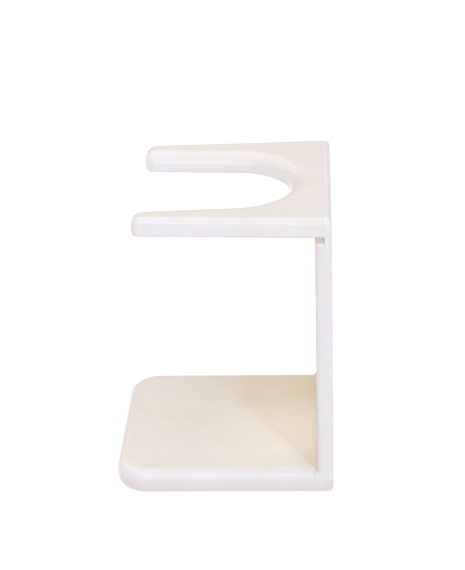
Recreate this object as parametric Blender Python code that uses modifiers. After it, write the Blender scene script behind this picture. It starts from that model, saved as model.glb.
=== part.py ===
"""A small free-standing holder made of three cast resin plates: a base plate, a back upright with
a rebate at each end, and a forked top plate that a round handle hangs in.

Metres, +Z up. The origin is on the floor under the middle of the base plate, the fork opens
towards -Y, and the part is the same on both sides of the plane X = 0.
"""

from math import atan2, cos, hypot, pi, radians, sin, tan

import bmesh
import bpy

# Overall size
WIDTH = 0.060
BASE_DEPTH = 0.068
HEIGHT = 0.094

# Plates
BASE_THICKNESS = 0.008
UPRIGHT_THICKNESS = 0.005
FORK_THICKNESS = 0.006
FORK_REACH = 0.058  # from the back face of the upright to the prong tips

# The slot in the fork, and the prongs beside it
SLOT_RADIUS = 0.0172
SLOT_CENTRE_REACH = 0.0292  # from the back face to the centre of the slot's round end
SLOT_FLARE = radians(3.4)  # each wall leans out by this much towards the mouth
PRONG_TAPER = radians(2.4)  # each outer side leans in by this much towards the tip

# Rounded corners and edges
BASE_CORNER_RADIUS = 0.0095
PRONG_CORNER_RADIUS = 0.0032
BASE_EDGE_RADIUS = 0.0030
BASE_UNDER_EDGE_SHARE = 0.8  # of the base's edge radius, round its underside
FORK_EDGE_RADIUS = 0.0030  # on the upper rim of the slot and across the prong tips
FORK_SIDE_EDGE_SHARE = 0.7  # of the fork's edge radius, on the upper edge of each outer side
FORK_UNDER_EDGE_SHARE = 0.45  # of the fork's edge radius, round its underside
UPRIGHT_EDGE_RADIUS = 0.0020
UPRIGHT_FRONT_EDGE_SHARE = 0.7  # of the upright's edge radius, on its two front edges
CORNER_STEPS = 8
SLOT_STEPS = 24
EDGE_STEPS = 4

# Joints: the upright keeps a thin tongue behind the base plate and one behind the fork
BASE_TONGUE_THICKNESS = 0.0028
FORK_TONGUE_THICKNESS = 0.0022
GLUE_THICKNESS = 0.0003
GLUE_CLEARANCE = 0.00025
GLUE_INSET = 0.0025  # the glue film stops short of the plates' sides
GLUE_JOINT = GLUE_THICKNESS + 2 * GLUE_CLEARANCE

# Places along Y and Z that follow from the sizes above
BACK_Y = BASE_DEPTH / 2
FRONT_Y = -BASE_DEPTH / 2
UPRIGHT_FRONT_Y = BACK_Y - UPRIGHT_THICKNESS
BASE_TONGUE_Y = BACK_Y - BASE_TONGUE_THICKNESS
FORK_TONGUE_Y = BACK_Y - FORK_TONGUE_THICKNESS
BASE_BACK_Y = BASE_TONGUE_Y - GLUE_JOINT
FORK_BACK_Y = FORK_TONGUE_Y - GLUE_JOINT
TIP_Y = BACK_Y - FORK_REACH
SLOT_Y = BACK_Y - SLOT_CENTRE_REACH
FORK_UNDERSIDE_Z = HEIGHT - FORK_THICKNESS
SHOULDER_Z = FORK_UNDERSIDE_Z - GLUE_JOINT
FOOT_Z = BASE_THICKNESS + GLUE_JOINT

IVORY_RESIN = ("ivory_resin", (0.90, 0.86, 0.79, 1.0), 0.16)
CURED_GLUE = ("cured_glue", (0.72, 0.52, 0.30, 1.0), 0.30)


def clear_scene():
    for old in list(bpy.data.objects):
        bpy.data.objects.remove(old, do_unlink=True)


def new_collection(name):
    collection = bpy.data.collections.new(name)
    bpy.context.scene.collection.children.link(collection)
    return collection


def new_material(name, colour, roughness):
    material = bpy.data.materials.new(name)
    material.use_nodes = True
    shader = material.node_tree.nodes["Principled BSDF"]
    shader.inputs["Base Color"].default_value = colour
    shader.inputs["Roughness"].default_value = roughness
    shader.inputs["Metallic"].default_value = 0.0
    material.diffuse_color = colour
    return material


def arc(centre, radius, start, end, steps):
    """Points on a circle from one angle to another, both ends included."""
    angles = [start + (end - start) * i / steps for i in range(steps + 1)]
    return [(centre[0] + radius * cos(a), centre[1] + radius * sin(a)) for a in angles]


def fillet(before, corner, after, radius, steps):
    """The corner of an outline as an arc that touches both of its sides."""
    to_before = (before[0] - corner[0], before[1] - corner[1])
    to_after = (after[0] - corner[0], after[1] - corner[1])
    angle_before = atan2(to_before[1], to_before[0])
    angle_after = atan2(to_after[1], to_after[0])
    turn = (angle_after - angle_before + pi) % (2 * pi) - pi
    bisector = angle_before + turn / 2
    distance = radius / sin(abs(turn) / 2)
    centre = (corner[0] + distance * cos(bisector), corner[1] + distance * sin(bisector))
    side = -1 if turn > 0 else 1
    start = angle_before + side * pi / 2
    sweep = side * (pi - abs(turn))
    return arc(centre, radius, start, start + sweep, steps)


def mirrored(right_half):
    """A whole outline from its right half, which runs from the back to the front."""
    return right_half + [(-x, y) for x, y in reversed(right_half) if abs(x) > 1e-9]


def base_outline():
    half = WIDTH / 2
    corner = fillet((half, 0), (half, FRONT_Y), (0, FRONT_Y), BASE_CORNER_RADIUS, CORNER_STEPS)
    return mirrored([(half, BASE_BACK_Y)] + corner)


def fork_outline():
    half = WIDTH / 2
    outer_tip = (half - (BACK_Y - TIP_Y) * tan(PRONG_TAPER), TIP_Y)
    wall_top = (SLOT_RADIUS * cos(SLOT_FLARE), SLOT_Y + SLOT_RADIUS * sin(SLOT_FLARE))
    inner_tip = (wall_top[0] + (wall_top[1] - TIP_Y) * tan(SLOT_FLARE), TIP_Y)
    back_corner = (half - (BACK_Y - FORK_BACK_Y) * tan(PRONG_TAPER), FORK_BACK_Y)
    outer = fillet(back_corner, outer_tip, inner_tip, PRONG_CORNER_RADIUS, CORNER_STEPS)
    inner = fillet(outer_tip, inner_tip, wall_top, PRONG_CORNER_RADIUS, CORNER_STEPS)
    slot_end = arc((0, SLOT_Y), SLOT_RADIUS, SLOT_FLARE, pi / 2, SLOT_STEPS // 2)
    return mirrored([back_corner] + outer + inner + slot_end)


def glue_outline(tongue_y, shelf_z, wall_z):
    """An L-shaped film: along the shelf under or over a plate, and up or down the tongue."""
    up = 1 if wall_z > shelf_z else -1
    shelf_far = shelf_z + up * GLUE_THICKNESS
    front = UPRIGHT_FRONT_Y + GLUE_CLEARANCE
    wall_back = tongue_y - GLUE_CLEARANCE
    wall_front = wall_back - GLUE_THICKNESS
    lower = [(front, shelf_z), (wall_back, shelf_z), (wall_back, wall_z)]
    return lower + [(wall_front, wall_z), (wall_front, shelf_far), (front, shelf_far)]


def extruded(name, outline, thickness, rotation=(0, 0, 0)):
    """A closed plate from a flat outline, with its middle at its object's origin."""
    curve = bpy.data.curves.new(name + "_outline", "CURVE")
    curve.dimensions = "2D"
    curve.fill_mode = "BOTH"
    curve.extrude = thickness / 2
    spline = curve.splines.new("POLY")
    spline.points.add(len(outline) - 1)
    for point, (x, y) in zip(spline.points, outline):
        point.co = (x, y, 0, 1)
    spline.use_cyclic_u = True
    drawn = bpy.data.objects.new(name + "_outline", curve)
    bpy.context.scene.collection.objects.link(drawn)
    drawn.rotation_euler = rotation
    bpy.context.view_layer.update()
    graph = bpy.context.evaluated_depsgraph_get()
    mesh = bpy.data.meshes.new_from_object(drawn.evaluated_get(graph))
    plate = bpy.data.objects.new(name, mesh)
    plate.matrix_world = drawn.matrix_world
    bpy.data.objects.remove(drawn)
    weld_and_flatten(mesh)
    return plate


def weld_and_flatten(mesh):
    """Joins a curve's loose caps to its sides, and makes each flat cap one face."""
    work = bmesh.new()
    work.from_mesh(mesh)
    bmesh.ops.remove_doubles(work, verts=work.verts, dist=1e-6)
    bmesh.ops.dissolve_limit(work, angle_limit=radians(0.5), verts=work.verts, edges=work.edges)
    bmesh.ops.recalc_face_normals(work, faces=work.faces)
    work.to_mesh(mesh)
    work.free()


def weight_edges(mesh, weight_of):
    """Sets how much of the Bevel's width each edge gets, from the places of its two ends."""
    weights = mesh.attributes.new("bevel_weight_edge", "FLOAT", "EDGE")
    for edge in mesh.edges:
        ends = [mesh.vertices[i].co for i in edge.vertices]
        weights.data[edge.index].value = weight_of(*ends)


def add_rounding(target, radius):
    rounding = target.modifiers.new("rounded_edges", "BEVEL")
    rounding.limit_method = "WEIGHT"
    rounding.width = radius
    rounding.segments = EDGE_STEPS
    rounding.use_clamp_overlap = True


def near(a, b):
    return abs(a - b) < 1e-6


def is_rim_edge(a, b, back_y):
    """Whether an edge runs along one of a plate's two faces, and not along its back end."""
    is_back = near(a.y, back_y) and near(b.y, back_y)
    return near(a.z, b.z) and not is_back


def base_edge_weight(a, b):
    if not is_rim_edge(a, b, BASE_BACK_Y):
        return 0.0
    return 1.0 if a.z > 0 else BASE_UNDER_EDGE_SHARE


def fork_edge_weight(a, b):
    """1 on the slot's upper rim and the tips, easing round each outer corner to the side's share."""
    if not is_rim_edge(a, b, FORK_BACK_Y):
        return 0.0
    if a.z < 0:
        return FORK_UNDER_EDGE_SHARE
    middle = (a + b) / 2
    prong_middle = (WIDTH / 2 + SLOT_RADIUS) / 2
    if abs(middle.x) < prong_middle:
        return 1.0
    past_corner = min((middle.y - TIP_Y) / PRONG_CORNER_RADIUS, 1.0)
    return 1.0 + (FORK_SIDE_EDGE_SHARE - 1.0) * past_corner


def upright_edge_weight(a, b):
    """1 round the back face and along the short edges, less on the two front edges, 0 elsewhere."""
    is_front = a.y < 0 and b.y < 0
    if not is_front:
        return 1.0
    is_upright_edge = not near(a.z, b.z)
    return UPRIGHT_FRONT_EDGE_SHARE if is_upright_edge else 0.0


def make_base_plate():
    plate = extruded("base_plate", base_outline(), BASE_THICKNESS)
    plate.location.z = BASE_THICKNESS / 2
    weight_edges(plate.data, base_edge_weight)
    add_rounding(plate, BASE_EDGE_RADIUS)
    return plate


def make_fork_plate():
    plate = extruded("fork_plate", fork_outline(), FORK_THICKNESS)
    plate.location.z = HEIGHT - FORK_THICKNESS / 2
    weight_edges(plate.data, fork_edge_weight)
    add_rounding(plate, FORK_EDGE_RADIUS)
    return plate


def box(name, low, high):
    """A box between two corners, with its scale applied and its origin at its middle."""
    middle = [(a + b) / 2 for a, b in zip(low, high)]
    bpy.ops.mesh.primitive_cube_add(size=1, location=middle)
    made = bpy.context.active_object
    made.name = name
    made.data.name = name
    size = [b - a for a, b in zip(low, high)]
    for vertex in made.data.vertices:
        vertex.co = [c * s for c, s in zip(vertex.co, size)]
    for collection in list(made.users_collection):
        collection.objects.unlink(made)
    return made


def make_upright(cutters):
    """The back plate, cut away in front of a thin tongue where the fork and the base seat."""
    half = WIDTH / 2
    upright = box("back_upright", (-half, UPRIGHT_FRONT_Y, 0), (half, BACK_Y, HEIGHT))
    weight_edges(upright.data, upright_edge_weight)
    add_rounding(upright, UPRIGHT_EDGE_RADIUS)
    margin = UPRIGHT_THICKNESS
    rebates = (
        ("fork_rebate_cutter", FORK_TONGUE_Y, SHOULDER_Z, HEIGHT + margin),
        ("base_rebate_cutter", BASE_TONGUE_Y, -margin, FOOT_Z),
    )
    for name, tongue_y, low_z, high_z in rebates:
        low = (-half - margin, UPRIGHT_FRONT_Y - margin, low_z)
        high = (half + margin, tongue_y, high_z)
        cutter = box(name, low, high)
        cutter.hide_render = True
        cutter.display_type = "WIRE"
        cutters.objects.link(cutter)
        cut = upright.modifiers.new(name, "BOOLEAN")
        cut.operation = "DIFFERENCE"
        cut.solver = "EXACT"
        cut.object = cutter
    return upright


def make_glue(name, tongue_y, shelf_z, wall_z):
    """The cured film in one joint. Its outline lies in the YZ plane and is extruded along X."""
    length = WIDTH - 2 * GLUE_INSET
    outline = glue_outline(tongue_y, shelf_z, wall_z)
    return extruded(name, outline, length, rotation=(pi / 2, 0, pi / 2))


def finish_node(node, collection, parent, material):
    collection.objects.link(node)
    node.parent = parent
    node.data.materials.clear()
    node.data.materials.append(material)
    node.data.shade_smooth()
    node.data.set_sharp_from_angle(angle=radians(30))


def build():
    clear_scene()
    parts = new_collection("brush_stand")
    cutters = new_collection("cutters")
    ivory = new_material(*IVORY_RESIN)
    glue = new_material(*CURED_GLUE)
    stand = bpy.data.objects.new("stand", None)
    parts.objects.link(stand)
    for plate in (make_base_plate(), make_upright(cutters), make_fork_plate()):
        finish_node(plate, parts, stand, ivory)
    under_fork_z = SHOULDER_Z + GLUE_CLEARANCE
    over_base_z = FOOT_Z - GLUE_CLEARANCE
    films = (
        make_glue("fork_joint_glue", FORK_TONGUE_Y, under_fork_z, HEIGHT - GLUE_INSET),
        make_glue("base_joint_glue", BASE_TONGUE_Y, over_base_z, GLUE_INSET),
    )
    for film in films:
        finish_node(film, parts, stand, glue)


build()
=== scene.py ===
"""Looks of a small brush stand: three polished ivory resin plates and the glue between them.

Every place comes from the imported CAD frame. The plates here are finer versions of the CAD plates:
their edges are buffed round, and their joints are closed and polished flush. The order is shape
(outlines, plates, upright, glue), materials, the stand's assembly, and then the studio.
"""

from math import atan2, cos, pi, radians, sin, sqrt, tan

import bmesh
import bpy
from mathutils import Matrix, Vector
from mathutils.noise import noise


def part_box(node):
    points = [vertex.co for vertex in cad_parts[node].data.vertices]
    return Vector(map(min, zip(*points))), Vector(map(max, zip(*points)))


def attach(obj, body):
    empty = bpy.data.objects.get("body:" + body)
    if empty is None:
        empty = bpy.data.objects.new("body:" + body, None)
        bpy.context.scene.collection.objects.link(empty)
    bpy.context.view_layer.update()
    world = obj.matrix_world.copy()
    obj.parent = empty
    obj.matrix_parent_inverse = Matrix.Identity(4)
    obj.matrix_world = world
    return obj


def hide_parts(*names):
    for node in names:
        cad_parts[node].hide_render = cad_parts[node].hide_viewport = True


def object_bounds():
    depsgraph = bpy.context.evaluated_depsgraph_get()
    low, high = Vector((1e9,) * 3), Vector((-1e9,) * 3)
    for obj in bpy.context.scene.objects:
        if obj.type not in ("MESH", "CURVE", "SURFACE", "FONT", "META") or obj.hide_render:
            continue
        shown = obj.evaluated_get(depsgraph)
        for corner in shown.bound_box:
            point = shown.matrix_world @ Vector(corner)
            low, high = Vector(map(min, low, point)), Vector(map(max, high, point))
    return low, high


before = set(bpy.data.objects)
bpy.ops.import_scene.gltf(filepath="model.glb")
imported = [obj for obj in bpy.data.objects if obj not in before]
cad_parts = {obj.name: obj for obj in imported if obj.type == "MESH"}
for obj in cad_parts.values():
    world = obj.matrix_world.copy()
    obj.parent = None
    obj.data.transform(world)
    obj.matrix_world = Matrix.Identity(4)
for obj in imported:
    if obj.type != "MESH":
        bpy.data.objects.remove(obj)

CAD_LOW, CAD_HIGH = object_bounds()
MM = 0.001

# ---------------------------------------------------------------- places from the frame
BASE_LOW, BASE_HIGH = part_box("base_plate")
FORK_LOW, FORK_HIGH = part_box("fork_plate")
UPRIGHT_LOW, UPRIGHT_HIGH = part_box("back_upright")
HALF_WIDTH = UPRIGHT_HIGH.x
BACK_Y = UPRIGHT_HIGH.y
UPRIGHT_FRONT_Y = UPRIGHT_LOW.y
BASE_SEAM_Y = BACK_Y - 2.8 * MM  # where the base ends against the upright's lower tongue
FORK_SEAM_Y = BACK_Y - 2.2 * MM  # the same for the fork and the upper tongue
BASE_TOP_Z = BASE_HIGH.z
FORK_UNDER_Z = FORK_LOW.z
TOP_Z = FORK_HIGH.z
TIP_Y = FORK_LOW.y
HAIRLINE = 0.003 * MM  # what is left open in a polished joint

# ---------------------------------------------------------------- shape of the plates
BASE_CORNER_RADIUS = 9.5 * MM
BASE_EDGE = (3.2 * MM, 3.0 * MM)  # how far the rounding reaches in from the side, and down
BASE_UNDER_EDGE = (2.4 * MM, 2.4 * MM)  # the foot of the upright's lower tongue has it too
BASE_EDGE_FADE = 1.3 * MM  # the rounding runs out over this length in front of the upright
BASE_SQUARE_SHARE = 0.02  # of the rounding, where it has run out
SLOT_RADIUS = 17.2 * MM
SLOT_CENTRE_Y = BACK_Y - 29.2 * MM
SLOT_FLARE = radians(3.4)  # of each of the slot's walls, toward its mouth
PRONG_TAPER = radians(2.4)  # of the fork's outer sides, toward the tips
TIP_OUTER_RADIUS = 2.6 * MM
TIP_INNER_RADIUS = 3.4 * MM
TIP_FLAT_RADIUS = 0.3 * MM  # of the corners that the flat faces have at a prong's tip
FORK_EDGE = (2.3 * MM, 2.1 * MM)
FORK_UNDER_EDGE = (1.6 * MM, 1.5 * MM)
TIP_EDGE = (4.2 * MM, 3.0 * MM)
SLOT_EDGE = (5.2 * MM, 5.3 * MM)  # the slot's upper rim is eased like a shallow funnel
SLOT_UNDER_EDGE = (0.6 * MM, 0.6 * MM)
UPRIGHT_EDGE = 2.0 * MM
UPRIGHT_FRONT_EDGE = 1.4 * MM
TOP_BACK_EDGE = 1.9 * MM  # how far the back face draws in at the upright's top end
FOOT_BACK_EDGE = 1.2 * MM
NOTCH_RADIUS = 2.6 * MM  # of the upright's shoulders, where they meet the fork's underside
ROUNDING_STEPS = 10
ROUNDING_POWER = 2.3  # 2 is a circle; more is a flatter, buffed rounding
CORNER_STEPS = 20
SIDE_STEPS = 24
BASE_REAR_STEPS = 4
BASE_FADE_STEPS = 12
WALL_STEPS = 16
SLOT_STEPS = 60
LEVEL_MARGIN = 1 * MM  # the upright's plain stretch starts and ends this far from its steps
MERGE_DISTANCE = 0.0002 * MM
SHARP_ANGLE = radians(38)  # edges that turn more than this keep a hard line
FLAT_MARGIN = 0.4 * MM  # a ring of flat face inside each rounding keeps the shading flat

# ---------------------------------------------------------------- glue
BASE_BEAD = 0.35 * MM  # leg of the fillet along the base's inside corner
BASE_BEAD_INSET = 0.7  # of the upright's front rounding: how far the fillet stops from each side
FORK_BEAD = 0.9 * MM
BEAD_STEP = 0.8 * MM
BEAD_ROUND_STEPS = 8
BEAD_END_SHARE = 0.4  # a bead's ends taper to this share of its size
BEAD_END_STEPS = 3
BEAD_WANDER = 0.15
BEAD_WAVES = 240.0
BEAD_SINK = 0.05  # of both legs, so that the bead's back is hidden in the corner
NOTCH_FILL = 0.35 * MM  # the glue in the notch stops this far in from the side
NOTCH_FRONT_FILL = 0.1 * MM  # how much further in it stops at the front
NOTCH_FRONT_GAP = 0.1 * MM  # from the upright's front to the glue
NOTCH_HOLLOW = 0.25 * MM  # how far the glue's middle draws in
NOTCH_STEPS = 8
NOTCH_SIDE_STEPS = 6
NOTCH_SINK = 0.02 * MM  # how far this glue reaches into both plates

# ---------------------------------------------------------------- camera and lights
CAMERA_PLACE = (0.4275, 0.0303, 0.2852)
CAMERA_YAW = radians(-3.63)
CAMERA_PITCH = radians(27.96)
CAMERA_ROLL = radians(-2.28)
CAMERA_LENS = 98.4
FLOOR_HALF = 2.0
FLOOR_DROP = 0.02 * MM
FLOOR_GLOW = 0.80
ROOM_COLOUR = (1.0, 0.97, 0.925, 1.0)
ROOM_STRENGTH = 0.65
# name, azimuth and elevation in degrees, distance, size, watts, colour
SOFT_BOXES = (
    ("back_left_window", 330, 60, 2.0, 2.8, 22.5, (1.0, 0.93, 0.80)),
    ("right_window", 140, 30, 2.0, 1.4, 13.0, (0.78, 0.87, 1.0)),
    ("front_window", 77, 30, 2.0, 1.3, 9.4, (0.92, 0.95, 1.0)),
    ("key_window", 123, 47, 2.0, 0.12, 6.9, (0.27, 0.60, 1.0)),
)

# ---------------------------------------------------------------- colours
# Three tones to a set: the body of the resin, its pale clouds and its blushes.
IVORY = (0.687, 0.633, 0.616, 1), (0.696, 0.657, 0.662, 1), (0.697, 0.638, 0.653, 1)
PEARL = (0.670, 0.617, 0.601, 1), (0.679, 0.641, 0.645, 1), (0.680, 0.622, 0.637, 1)
# Painted light: these three top sets give the flat top faces a warmer or cooler look of their own,
# as the lamps light them; the two sets above are the sides' tones.
FROST_LIT_TOP = (0.715, 0.671, 0.671, 1), (0.724, 0.696, 0.722, 1), (0.725, 0.676, 0.712, 1)
CREAM_LIT_TOP = (0.727, 0.652, 0.610, 1), (0.736, 0.677, 0.652, 1), (0.737, 0.657, 0.644, 1)
HONEY_LIT_TOP = (0.706, 0.636, 0.563, 1), (0.715, 0.659, 0.604, 1), (0.715, 0.641, 0.595, 1)
MOTE_COLOUR = (0.50, 0.40, 0.28, 1.0)
# Painted shade: darker and browner toward the bottom, where the stand meets the table.
FOOT_SHADE = (0.93, 0.90, 0.87, 1.0)
FOOT_SHADE_Z = (6.5 * MM, 3.0 * MM)  # none of the tint at the first height, all at the second
GLOW_TINT = (1.24, 1.24, 1.1625, 1.0)
GLOW_Y = (-14 * MM, UPRIGHT_FRONT_Y)
GLOW_FAR_X = (-HALF_WIDTH, 4 * MM)
GLOW_NEAR_X = (27 * MM, 15 * MM)
GLOW_NEAR_SHARE = 0.35  # of the glow that is left at the near side
# Painted shade: a yellower patch in the base's far half, in the shadow that the upright casts.
FAR_SHADE_TINT = (0.98, 0.94, 0.85, 1.0)
FAR_SHADE_X = (2 * MM, -20 * MM)
FAR_SHADE_Y = (0 * MM, 7 * MM)
PLAIN_GLUE = (0.68, 0.57, 0.42, 1.0), (0.77, 0.68, 0.55, 1.0)
# Painted shade: these darker tones under the fork hold the shade of the fork's overhang along with
# the glue's own colour.
SHADED_GLUE = (0.54, 0.41, 0.27, 1.0), (0.62, 0.49, 0.35, 1.0)
PLAIN_TO_SHADED_GLUE_Z = (40 * MM, 60 * MM)
FLOOR_TONES = (0.23, 0.23, 0.23, 1.0), (0.25, 0.25, 0.25, 1.0)

# ---------------------------------------------------------------- surfaces
IOR = 1.5  # of the resin and the glue
RESIN_ROUGHNESS = (0.13, 0.26)
GLUE_ROUGHNESS = (0.22, 0.40)
SCRATCH_ROUGHNESS = 0.12  # what a scratch adds
SCRATCH_DEPTH = 0.004 * MM
WAVE_HEIGHT = 0.25 * MM
PEEL_HEIGHT = 0.006 * MM
LUMP_HEIGHT = 0.03 * MM


def arc(centre, radius, start, end, steps):
    angles = [start + (end - start) * i / steps for i in range(steps + 1)]
    return [Vector((centre[0] + radius * cos(a), centre[1] + radius * sin(a))) for a in angles]


def fillet(before, corner, after, radius, steps):
    """The corner of an outline as an arc that touches both of its sides."""
    to_before, to_after = before - corner, after - corner
    angle_before = atan2(to_before.y, to_before.x)
    turn = (atan2(to_after.y, to_after.x) - angle_before + pi) % (2 * pi) - pi
    bisector = angle_before + turn / 2
    reach = radius / sin(abs(turn) / 2)
    centre = corner + reach * Vector((cos(bisector), sin(bisector)))
    side = -1 if turn > 0 else 1
    start = angle_before + side * pi / 2
    return arc(centre, radius, start, start + side * (pi - abs(turn)), steps)


def straight(start, end, steps):
    """Points along a straight side, without its end."""
    return [start.lerp(end, i / steps) for i in range(steps)]


def mirrored(right_half):
    """Half an outline and its mirror image, which leaves out a point on the middle line."""
    aside = [p for p in reversed(right_half) if abs(p.x) > MERGE_DISTANCE]
    return right_half + [Vector((-p.x, p.y)) for p in aside]


def rounding():
    """(inward, downward) shares of an edge rounding, from the side wall to the flat face."""
    angles = [pi / 2 * i / ROUNDING_STEPS for i in range(ROUNDING_STEPS + 1)]
    power = 2 / ROUNDING_POWER
    return [(1 - max(cos(a), 0) ** power, 1 - sin(a) ** power) for a in angles]


def add_ring_mesh(work, rings):
    """Adds a closed skin through rings of equally many points to a mesh under construction."""
    rows = [[work.verts.new(p) for p in ring] for ring in rings]
    count = len(rows[0])
    for lower, upper in zip(rows, rows[1:]):
        for i in range(count):
            j = (i + 1) % count
            work.faces.new((lower[i], lower[j], upper[j], upper[i]))
    work.faces.new(reversed(rows[0]))
    work.faces.new(rows[-1])


def finish_mesh(name, work):
    """The mesh under construction as an object, smooth but for its real corners."""
    mesh = bpy.data.meshes.new(name)
    work.to_mesh(mesh)
    work.free()
    mesh.shade_smooth()
    mesh.set_sharp_from_angle(angle=SHARP_ANGLE)
    made = bpy.data.objects.new(name, mesh)
    bpy.context.scene.collection.objects.link(made)
    return made


def skin(name, rings):
    """A closed object through rings of equally many points, with a face over each end."""
    work = bmesh.new()
    add_ring_mesh(work, rings)
    bmesh.ops.remove_doubles(work, verts=work.verts, dist=MERGE_DISTANCE)
    bmesh.ops.dissolve_degenerate(work, dist=MERGE_DISTANCE / 2, edges=work.edges)
    bmesh.ops.recalc_face_normals(work, faces=work.faces)
    return finish_mesh(name, work)


def plate(name, outline, low_z, high_z, under, top):
    """A plate whose rims round over from its outline to its two flat faces, point by point.

    under and top each hold the edge of the flat face, a line inside it, and the depths.
    """
    profile = rounding()
    rings = []
    for flat_z, up, (face, inside, depths) in ((low_z, -1, under), (high_z, 1, top)):
        rim_rings = [[(p.x, p.y, flat_z) for p in inside]]
        for inward, downward in profile[::-1]:
            places = [rim.lerp(inner, inward) for rim, inner in zip(outline, face)]
            heights = [flat_z - up * depth * downward for depth in depths]
            rim_rings.append([(p.x, p.y, z) for p, z in zip(places, heights)])
        rings += rim_rings[::-up]
    return skin(name, rings)


def base_share(point, least):
    """How much of a rim's rounding is left at a point, down to least in front of the upright."""
    start = UPRIGHT_FRONT_Y - BASE_EDGE_FADE
    run = min(max((point.y - start) / BASE_EDGE_FADE, 0), 1)
    return 1 - (1 - least) * run * run * (3 - 2 * run)


def base_outline(inset):
    """The base's outline, or the edge of its flat face that far in from it."""
    half_width, front_y = HALF_WIDTH - inset, BASE_LOW.y + inset
    radius = BASE_CORNER_RADIUS - inset
    back = Vector((half_width, BASE_SEAM_Y - HAIRLINE))
    fade_end = Vector((half_width, UPRIGHT_FRONT_Y))
    fade_start = Vector((half_width, UPRIGHT_FRONT_Y - BASE_EDGE_FADE))
    corner = Vector((half_width, front_y))
    half = straight(back, fade_end, BASE_REAR_STEPS)
    half += straight(fade_end, fade_start, BASE_FADE_STEPS)
    half += straight(fade_start, corner + Vector((0, radius)), SIDE_STEPS)
    half += fillet(back, corner, Vector((0, front_y)), radius, CORNER_STEPS)
    return mirrored(half)


def make_base():
    outline = base_outline(0)
    rims = []
    for (reach, depth), least in ((BASE_UNDER_EDGE, 1), (BASE_EDGE, BASE_SQUARE_SHARE)):
        shares = [base_share(point, least) for point in outline]
        face = [rim.lerp(p, s) for rim, p, s in zip(outline, base_outline(reach), shares)]
        inside = base_outline(reach + FLAT_MARGIN)
        inside = [edge.lerp(p, s) for edge, p, s in zip(face, inside, shares)]
        rims.append((face, inside, [depth * s for s in shares]))
    return plate("base_plate_resin", outline, BASE_LOW.z, BASE_TOP_Z, *rims)


def fork_outline(side_inset, tip_inset, slot_inset, outer_radius, inner_radius):
    """The fork's outline, or with insets the edge of its flat face."""
    half_width, tip_y = HALF_WIDTH - side_inset, TIP_Y + tip_inset
    radius = SLOT_RADIUS + slot_inset
    back = Vector((half_width, FORK_SEAM_Y - HAIRLINE))
    outer_tip = Vector((half_width - (FORK_SEAM_Y - tip_y) * tan(PRONG_TAPER), tip_y))
    wall_top = Vector((radius * cos(SLOT_FLARE), SLOT_CENTRE_Y + radius * sin(SLOT_FLARE)))
    inner_tip = Vector((wall_top.x + (wall_top.y - tip_y) * tan(SLOT_FLARE), tip_y))
    outer = fillet(back, outer_tip, inner_tip, outer_radius, CORNER_STEPS)
    inner = fillet(outer_tip, inner_tip, wall_top, inner_radius, CORNER_STEPS)
    end = arc((0, SLOT_CENTRE_Y), radius, SLOT_FLARE, pi / 2, SLOT_STEPS // 2)
    side = straight(back, outer[0], SIDE_STEPS)
    wall = straight(inner[-1], end[0], WALL_STEPS)[1:]
    return mirrored(side + outer + inner + wall + end)


def fork_depths(side, tip, slot):
    """How deep the rounding is at each point of the fork's outline."""
    half = [side] * SIDE_STEPS
    half += [side + (tip - side) * i / CORNER_STEPS for i in range(CORNER_STEPS + 1)]
    half += [tip + (slot - tip) * i / CORNER_STEPS for i in range(CORNER_STEPS + 1)]
    half += [slot] * (WALL_STEPS - 1 + SLOT_STEPS // 2)
    return half + [slot] + half[::-1]


def make_fork():
    outline = fork_outline(0, 0, 0, TIP_OUTER_RADIUS, TIP_INNER_RADIUS)
    rims = []
    under = (FORK_UNDER_EDGE, FORK_UNDER_EDGE, SLOT_UNDER_EDGE)
    for side, tip, slot in (under, (FORK_EDGE, TIP_EDGE, SLOT_EDGE)):
        insets = side[0], tip[0], slot[0]
        wider = [inset + FLAT_MARGIN for inset in insets]
        face = fork_outline(*insets, TIP_FLAT_RADIUS, TIP_FLAT_RADIUS)
        inside = fork_outline(*wider, TIP_FLAT_RADIUS, TIP_FLAT_RADIUS)
        rims.append((face, inside, fork_depths(side[1], tip[1], slot[1])))
    return plate("fork_plate_resin", outline, FORK_UNDER_Z, TOP_Z, *rims)


def shoulder_inset(z):
    """How far the front half of the back plate has drawn in, close under the fork."""
    rise = max(z - (FORK_UNDER_Z - NOTCH_RADIUS), 0)
    return NOTCH_RADIUS - sqrt(max(NOTCH_RADIUS**2 - rise**2, 0))


def upright_section(z, end_inset, back_inset, has_front):
    """A level cut through the back plate. has_front is False where only its tongue is left."""
    tongue_half = HALF_WIDTH - end_inset
    front_half = min(HALF_WIDTH - shoulder_inset(min(z, FORK_UNDER_Z)), tongue_half)
    back_radius = max(UPRIGHT_EDGE - end_inset, 0)
    back_y = BACK_Y - back_inset
    seam_y = BASE_SEAM_Y if z < FORK_UNDER_Z / 2 else FORK_SEAM_Y
    front_y = UPRIGHT_FRONT_Y if has_front else seam_y
    front_radius = UPRIGHT_FRONT_EDGE
    front = arc((front_half - front_radius, 0), front_radius, -pi / 2, 0, ROUNDING_STEPS)
    depth_share = 1.0 if has_front else 0.0
    half = [Vector((p.x, front_y + depth_share * (p.y + front_radius))) for p in front]
    half += [Vector((front_half, seam_y)), Vector((tongue_half, seam_y))]
    back_centre = (tongue_half - back_radius, back_y - back_radius)
    half += arc(back_centre, back_radius, 0, pi / 2, ROUNDING_STEPS)
    return [(p.x, p.y, z) for p in mirrored(half)]


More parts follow.
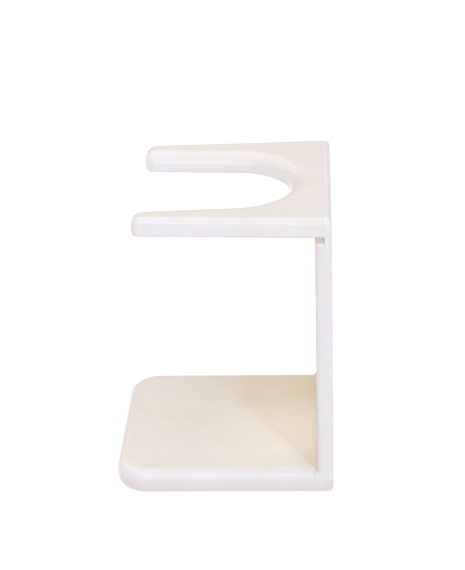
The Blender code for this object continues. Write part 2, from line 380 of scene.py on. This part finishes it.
def make_upright():
    """The back plate. At each end its tongue has the same rounding as the plate in front of it."""
    low_end, high_end = [], []
    for inward, downward in rounding():
        reach, depth = BASE_UNDER_EDGE
        back_inset = FOOT_BACK_EDGE * inward
        low_end.insert(0, (UPRIGHT_LOW.z + depth * downward, reach * inward, back_inset, False))
        reach, depth = FORK_EDGE
        back_inset = TOP_BACK_EDGE * inward
        high_end.append((TOP_Z - depth * downward, reach * inward, back_inset, False))
    foot_z = BASE_TOP_Z + HAIRLINE
    shoulder_z = FORK_UNDER_Z - HAIRLINE
    shoulder_start = FORK_UNDER_Z - NOTCH_RADIUS
    curve = [sin(pi / 2 * i / ROUNDING_STEPS) for i in range(ROUNDING_STEPS)]
    levels = low_end + [(foot_z, 0, 0, False), (foot_z, 0, 0, True)]
    levels += [(foot_z + LEVEL_MARGIN, 0, 0, True), (shoulder_start - LEVEL_MARGIN, 0, 0, True)]
    levels += [(shoulder_start + NOTCH_RADIUS * c, 0, 0, True) for c in curve]
    levels += [(shoulder_z, 0, 0, True), (shoulder_z, 0, 0, False)] + high_end
    return skin("back_upright_resin", [upright_section(*level) for level in levels])


def corner_bead(start, end, leg_a, leg_b):
    """Rings of a concave glue fillet along an inside corner. Its size wanders along the line."""
    steps = int((end - start).length / BEAD_STEP)
    turns = [pi / 2 * k / BEAD_ROUND_STEPS for k in range(BEAD_ROUND_STEPS + 1)]
    curve = [(1 - sin(turn), 1 - cos(turn)) for turn in turns]
    rings = []
    for i in range(steps + 1):
        place = start.lerp(end, i / steps)
        tail = min(i, steps - i, BEAD_END_STEPS) / BEAD_END_STEPS
        taper = BEAD_END_SHARE + (1 - BEAD_END_SHARE) * tail
        size = taper * (1 + BEAD_WANDER * noise(place * BEAD_WAVES))
        a, b = leg_a * size, leg_b * size
        ring = [place - (leg_a + leg_b) * BEAD_SINK]
        rings.append(ring + [place + a * u + b * v for u, v in curve])
    return rings


def fork_under_height(inset):
    """Height of the fork's rounded underside at a distance in from its side."""
    reach, depth = FORK_UNDER_EDGE
    across = max(1 - inset / reach, 0)
    return FORK_UNDER_Z + depth * (1 - (1 - across**ROUNDING_POWER) ** (1 / ROUNDING_POWER))


def shoulder_height(inset):
    """Height of the upright's rounded shoulder at a distance in from its side."""
    across = max(NOTCH_RADIUS - inset, 0)
    return FORK_UNDER_Z - NOTCH_RADIUS + sqrt(max(NOTCH_RADIUS**2 - across**2, 0))


def notch_bead(side):
    """Rings of the glue that fills the groove between the fork's underside and the shoulder."""
    rings = []
    shares = [k / NOTCH_SIDE_STEPS for k in range(NOTCH_SIDE_STEPS + 1)]
    for i in range(NOTCH_STEPS + 1):
        back = i / NOTCH_STEPS
        y = UPRIGHT_FRONT_Y + NOTCH_FRONT_GAP + back * (FORK_SEAM_Y - UPRIGHT_FRONT_Y)
        y = min(y, FORK_SEAM_Y)
        fill = NOTCH_FILL + NOTCH_FRONT_FILL * (1 - min(back * 3, 1)) ** 2
        insets = [NOTCH_RADIUS - (NOTCH_RADIUS - fill) * share for share in shares]
        lower = [(s, shoulder_height(s) - NOTCH_SINK) for s in insets]
        upper = [(s, fork_under_height(s) + NOTCH_SINK) for s in reversed(insets)]
        low_z, high_z = lower[-1][1], upper[0][1]
        middle = []
        for share in shares[1:-1]:
            inset = fill + NOTCH_HOLLOW * sin(pi * share)
            middle.append((inset, low_z + (high_z - low_z) * share))
        ring = lower + middle + upper
        rings.append([(side * (HALF_WIDTH - s), y, z) for s, z in ring])
    return rings


def make_glue(name, groups_of_rings):
    work = bmesh.new()
    for rings in groups_of_rings:
        add_ring_mesh(work, rings)
    bmesh.ops.recalc_face_normals(work, faces=work.faces)
    return finish_mesh(name, work)


def make_base_glue():
    reach = HALF_WIDTH - UPRIGHT_FRONT_EDGE * BASE_BEAD_INSET
    corner = Vector((reach, UPRIGHT_FRONT_Y, BASE_TOP_Z))
    other = Vector((-reach, UPRIGHT_FRONT_Y, BASE_TOP_Z))
    legs = Vector((0, -BASE_BEAD, 0)), Vector((0, 0, BASE_BEAD))
    return make_glue("base_glue_bead", [corner_bead(other, corner, *legs)])


def make_fork_glue():
    reach = HALF_WIDTH - NOTCH_RADIUS
    corner = Vector((reach, UPRIGHT_FRONT_Y, FORK_UNDER_Z))
    other = Vector((-reach, UPRIGHT_FRONT_Y, FORK_UNDER_Z))
    legs = Vector((0, -FORK_BEAD, 0)), Vector((0, 0, -FORK_BEAD))
    groups = [corner_bead(other, corner, *legs), notch_bead(1), notch_bead(-1)]
    return make_glue("fork_glue_bead", groups)


# ---------------------------------------------------------------- materials
def add(tree, kind, inputs=None, **settings):
    """A shader node. An input's value is a number, a colour or another node's output."""
    made = tree.nodes.new(kind)
    for key, value in settings.items():
        setattr(made, key, value)
    for key, value in (inputs or {}).items():
        if isinstance(value, bpy.types.NodeSocket):
            tree.links.new(value, made.inputs[key])
        else:
            made.inputs[key].default_value = value
    return made


def new_material(name):
    material = bpy.data.materials.new(name)
    material.use_nodes = True
    tree = material.node_tree
    tree.nodes.clear()
    output = tree.nodes.new("ShaderNodeOutputMaterial")
    shader = tree.nodes.new("ShaderNodeBsdfPrincipled")
    tree.links.new(shader.outputs["BSDF"], output.inputs["Surface"])
    place = tree.nodes.new("ShaderNodeTexCoord").outputs["Object"]
    return material, tree, shader, place


def stretched(tree, place, scale, turn=(0, 0, 0), shift=(0, 0, 0)):
    inputs = {"Vector": place, "Scale": scale, "Rotation": turn, "Location": shift}
    return add(tree, "ShaderNodeMapping", inputs).outputs["Vector"]


def cloud(tree, place, scale, detail=3.0, roughness=0.5, distortion=0.0):
    inputs = {
        "Vector": place, "Scale": scale, "Detail": detail,
        "Roughness": roughness, "Distortion": distortion,
    }
    return add(tree, "ShaderNodeTexNoise", inputs).outputs["Fac"]


def ranged(tree, value, low, high, to_low=0.0, to_high=1.0):
    """value moved from low..high to to_low..to_high, and held there."""
    inputs = {
        "Value": value, "From Min": low, "From Max": high, "To Min": to_low, "To Max": to_high,
    }
    node = add(tree, "ShaderNodeMapRange", inputs, interpolation_type="SMOOTHSTEP")
    return node.outputs["Result"]


def maths(tree, operation, a, b):
    return add(tree, "ShaderNodeMath", {0: a, 1: b}, operation=operation).outputs[0]


def blended(tree, share, a, b, blend_type="MIX"):
    node = add(tree, "ShaderNodeMix", data_type="RGBA", blend_type=blend_type)
    for socket, value in ((node.inputs[0], share), (node.inputs[6], a), (node.inputs[7], b)):
        if isinstance(value, bpy.types.NodeSocket):
            tree.links.new(value, socket)
        else:
            socket.default_value = value
    return node.outputs[2]


def bumped(tree, height, distance, normal=None):
    inputs = {"Height": height, "Distance": distance, "Strength": 1.0}
    if normal is not None:
        inputs["Normal"] = normal
    return add(tree, "ShaderNodeBump", inputs).outputs["Normal"]


def axes_of(tree, vector):
    return add(tree, "ShaderNodeSeparateXYZ", {"Vector": vector}).outputs


def clouded(tree, moved, side_tones, lit_top_tones, lit_top_share):
    """The resin's own colour of clouds, blushes and streaks, in the top's tones where it faces up,
    which are painted light.
    """
    stretch = stretched(tree, moved, (95, 12, 95))
    clouds = cloud(tree, moved, 42.0, detail=5.0, roughness=0.55, distortion=0.8)
    streaks = cloud(tree, stretch, 1.0, detail=4.0, roughness=0.6, distortion=0.5)
    blushes = cloud(tree, moved, 75.0, detail=3.0, roughness=0.5, distortion=0.3)
    tones = [blended(tree, lit_top_share, side, top) for side, top in zip(side_tones, lit_top_tones)]
    body, pale, blush = tones
    colour = blended(tree, ranged(tree, clouds, 0.38, 0.62), body, pale)
    colour = blended(tree, ranged(tree, blushes, 0.45, 0.68, to_high=0.55), colour, blush)
    return blended(tree, ranged(tree, streaks, 0.48, 0.70, to_high=0.35), colour, pale)


def shaded_foot(tree, axes, colour):
    """Darker and browner round the foot: painted shade where the stand meets the table."""
    low = ranged(tree, axes["Z"], *FOOT_SHADE_Z)
    return blended(tree, low, colour, FOOT_SHADE, "MULTIPLY")


def glowing(tree, axes, lit_top_share, colour):
    """Lighter on top toward the upright, as if light came through the resin there."""
    rearward = ranged(tree, axes["Y"], *GLOW_Y)
    from_far = ranged(tree, axes["X"], *GLOW_FAR_X)
    from_near = ranged(tree, axes["X"], *GLOW_NEAR_X, to_low=GLOW_NEAR_SHARE)
    across = maths(tree, "MULTIPLY", from_far, from_near)
    glow = maths(tree, "MULTIPLY", maths(tree, "MULTIPLY", rearward, across), lit_top_share)
    return blended(tree, glow, colour, GLOW_TINT, "MULTIPLY")


def yellow_shaded(tree, axes, colour):
    """Yellower in the base's far half, toward the upright: painted shade, the warmer shadow that
    the upright casts there.
    """
    far, rearward = ranged(tree, axes["X"], *FAR_SHADE_X), ranged(tree, axes["Y"], *FAR_SHADE_Y)
    far_shade = maths(tree, "MULTIPLY", far, rearward)
    return blended(tree, far_shade, colour, FAR_SHADE_TINT, "MULTIPLY")


def speckled(tree, moved, colour):
    """Rare brown motes in the resin."""
    inputs = {"Vector": moved, "Scale": 420.0}
    distance = add(tree, "ShaderNodeTexVoronoi", inputs).outputs["Distance"]
    rare = ranged(tree, cloud(tree, moved, 190.0, detail=1.0), 0.6, 0.66)
    motes = maths(tree, "MULTIPLY", ranged(tree, distance, 0.11, 0.05), rare)
    return blended(tree, maths(tree, "MULTIPLY", motes, 0.35), colour, MOTE_COLOUR)


def scratches(tree, place, turn, shift):
    """Fine straight hairlines in one direction, broken up so that only some show."""
    lines = cloud(tree, stretched(tree, place, (2600, 2600, 60), turn, shift), 1.0, detail=2.0)
    patches = cloud(tree, stretched(tree, place, (60, 60, 60), shift=shift), 1.0, detail=2.0)
    fine = ranged(tree, lines, 0.66, 0.74)
    return maths(tree, "MULTIPLY", fine, ranged(tree, patches, 0.5, 0.62))


def polish(tree, moved, shader):
    """A buffed surface: smudges, crossing scratches, slow waves and orange peel."""
    one_way = scratches(tree, moved, (pi / 2, 0, 0.5), (0.3, 0, 0))
    other_way = scratches(tree, moved, (pi / 2, 0, -0.9), (0, 0.4, 0))
    hairlines = maths(tree, "ADD", one_way, other_way)
    smudges = cloud(tree, moved, 60.0, detail=4.0, roughness=0.6, distortion=1.2)
    smooth = ranged(tree, smudges, 0.35, 0.7, *RESIN_ROUGHNESS)
    scratched = maths(tree, "MULTIPLY", hairlines, SCRATCH_ROUGHNESS)
    waves = bumped(tree, cloud(tree, moved, 38.0, detail=2.0), WAVE_HEIGHT)
    peel = bumped(tree, cloud(tree, moved, 520.0, detail=2.0), PEEL_HEIGHT, waves)
    lines = bumped(tree, hairlines, -SCRATCH_DEPTH, peel)
    tree.links.new(maths(tree, "ADD", smooth, scratched), shader.inputs["Roughness"])
    tree.links.new(lines, shader.inputs["Normal"])


def resin(name, lit_top_tones, side_tones, slopes, shift, is_base=False):
    """Polished cast resin, whose flat top faces have painted light: lit tones of their own.

    slopes are the upward shares of the normal between which the side's tones give way to the top's
    painted lit tones.
    """
    material, tree, shader, place = new_material(name)
    moved = stretched(tree, place, (1, 1, 1), shift=shift)
    axes = axes_of(tree, place)
    facing = add(tree, "ShaderNodeNewGeometry").outputs["Normal"]
    # Painted light: the share of the top's lit tones, from how far the surface faces up.
    lit_top_share = ranged(tree, axes_of(tree, facing)["Z"], *slopes)
    # Painted shade darkens the foot.
    colour = shaded_foot(tree, axes, clouded(tree, moved, side_tones, lit_top_tones, lit_top_share))
    if is_base:
        # Painted light toward the upright, and painted shade in the upright's shadow on the far
        # half.
        colour = yellow_shaded(tree, axes, glowing(tree, axes, lit_top_share, colour))
    shader.inputs["IOR"].default_value = IOR
    tree.links.new(speckled(tree, moved, colour), shader.inputs["Base Color"])
    polish(tree, moved, shader)
    return material


def glue_material():
    """Cured amber glue, slightly lumpy, and darker and browner under the fork: the glue's own
    colour with painted shade from the fork's overhang.
    """
    material, tree, shader, place = new_material("amber_glue")
    tone = ranged(tree, cloud(tree, place, 900.0), 0.35, 0.65)
    plain_tone, shaded_tone = blended(tree, tone, *PLAIN_GLUE), blended(tree, tone, *SHADED_GLUE)
    high = ranged(tree, axes_of(tree, place)["Z"], *PLAIN_TO_SHADED_GLUE_Z)
    # Painted shade: the darker tones high up, under the fork.
    colour = blended(tree, high, plain_tone, shaded_tone)
    lumps = bumped(tree, cloud(tree, place, 1400.0, detail=2.0), LUMP_HEIGHT)
    smudges = cloud(tree, place, 700.0, detail=2.0)
    roughness = ranged(tree, smudges, 0.3, 0.7, *GLUE_ROUGHNESS)
    shader.inputs["IOR"].default_value = IOR
    tree.links.new(colour, shader.inputs["Base Color"])
    tree.links.new(roughness, shader.inputs["Roughness"])
    tree.links.new(lumps, shader.inputs["Normal"])
    return material


def floor_material():
    """A white light table: its glow keeps the stand's shadow faint."""
    material, tree, shader, place = new_material("pale_floor")
    tone = ranged(tree, cloud(tree, place, 9.0), 0.3, 0.7)
    tree.links.new(blended(tree, tone, *FLOOR_TONES), shader.inputs["Base Color"])
    shader.inputs["Roughness"].default_value = 0.9
    shader.inputs["Specular IOR Level"].default_value = 0.2
    shader.inputs["Emission Color"].default_value = (1.0, 1.0, 1.0, 1.0)
    shader.inputs["Emission Strength"].default_value = FLOOR_GLOW
    return material


# ---------------------------------------------------------------- the stand
def dress(piece, material, node):
    piece.data.materials.append(material)
    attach(piece, "root")
    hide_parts(node)


def make_stand():
    base = resin("ivory_resin_base", HONEY_LIT_TOP, IVORY, (0.94, 0.998), (0, 0, 0), is_base=True)
    upright = resin("ivory_resin_upright", FROST_LIT_TOP, PEARL, (0.7, 0.98), (0.31, 0.07, 0.19))
    fork = resin("ivory_resin_fork", CREAM_LIT_TOP, IVORY, (0.86, 0.995), (0.11, 0.43, 0.05))
    glue = glue_material()
    dress(make_base(), base, "base_plate")
    dress(make_upright(), upright, "back_upright")
    dress(make_fork(), fork, "fork_plate")
    dress(make_base_glue(), glue, "base_joint_glue")
    dress(make_fork_glue(), glue, "fork_joint_glue")


# ---------------------------------------------------------------- the studio
def make_floor():
    work = bmesh.new()
    bmesh.ops.create_grid(work, x_segments=8, y_segments=8, size=FLOOR_HALF)
    floor = finish_mesh("floor", work)
    floor.location = (0, 0, CAD_LOW.z - FLOOR_DROP)
    floor.data.materials.append(floor_material())


def soft_light(name, azimuth, elevation, distance, size, watts, colour):
    """A square soft box that looks at the middle of the stand."""
    light = bpy.data.lights.new(name, "AREA")
    light.shape = "SQUARE"
    light.size = size
    light.energy = watts
    light.color = colour
    made = bpy.data.objects.new(name, light)
    bpy.context.scene.collection.objects.link(made)
    target = (CAD_LOW + CAD_HIGH) / 2
    flat = cos(elevation)
    away = Vector((sin(azimuth) * flat, -cos(azimuth) * flat, sin(elevation)))
    made.location = target + away * distance
    made.rotation_euler = away.to_track_quat("Z", "Y").to_euler()


def make_lights():
    for name, azimuth, elevation, distance, size, watts, colour in SOFT_BOXES:
        soft_light(name, radians(azimuth), radians(elevation), distance, size, watts, colour)
    world = bpy.data.worlds.new("room")
    world.use_nodes = True
    background = world.node_tree.nodes["Background"]
    background.inputs["Color"].default_value = ROOM_COLOUR
    background.inputs["Strength"].default_value = ROOM_STRENGTH
    bpy.context.scene.world = world


def make_camera():
    level = cos(CAMERA_PITCH)
    forward = Vector((-cos(CAMERA_YAW) * level, sin(CAMERA_YAW) * level, -sin(CAMERA_PITCH)))
    level_right = Vector((sin(CAMERA_YAW), cos(CAMERA_YAW), 0))
    level_up = level_right.cross(forward)
    right = level_right * cos(CAMERA_ROLL) + level_up * sin(CAMERA_ROLL)
    up = level_up * cos(CAMERA_ROLL) - level_right * sin(CAMERA_ROLL)
    lens = bpy.data.cameras.new("camera")
    lens.sensor_width = 36
    lens.lens = CAMERA_LENS
    lens.clip_start = 0.01
    camera = bpy.data.objects.new("camera", lens)
    bpy.context.scene.collection.objects.link(camera)
    turn = Matrix((right, up, -forward)).transposed()
    camera.matrix_world = Matrix.Translation(CAMERA_PLACE) @ turn.to_4x4()
    bpy.context.scene.camera = camera


bpy.context.scene.view_settings.view_transform = "Standard"
make_camera()
make_lights()
make_floor()
make_stand()
bpy.context.view_layer.update()
